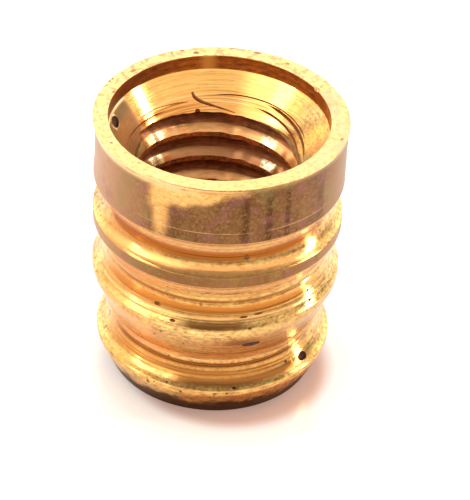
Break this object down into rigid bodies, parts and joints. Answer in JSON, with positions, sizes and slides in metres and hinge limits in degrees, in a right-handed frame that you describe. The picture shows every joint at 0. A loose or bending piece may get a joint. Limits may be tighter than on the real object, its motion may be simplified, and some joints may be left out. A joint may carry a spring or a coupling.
{
  "type": "threaded insert",
  "caption": "Round press-in brass insert with a collar, a land, a barb and a tapered nose, and a countersunk threaded bore.",
  "frame": {"origin": "centre of the nose's end face, which is the centre of the bottom of the bounding box", "axes": "+Z along the insert's axis, from the nose to the mouth that the screw enters; X and Y are free, since the solid is round"},
  "size_m": [0.013, 0.013, 0.0147],
  "materials": {
    "brass": "turned, with tarnished bar surface on the collar, land and barb"
  },
  "bodies": {
    "root": {"threaded_insert": "brass"}
  },
  "joints": []
}
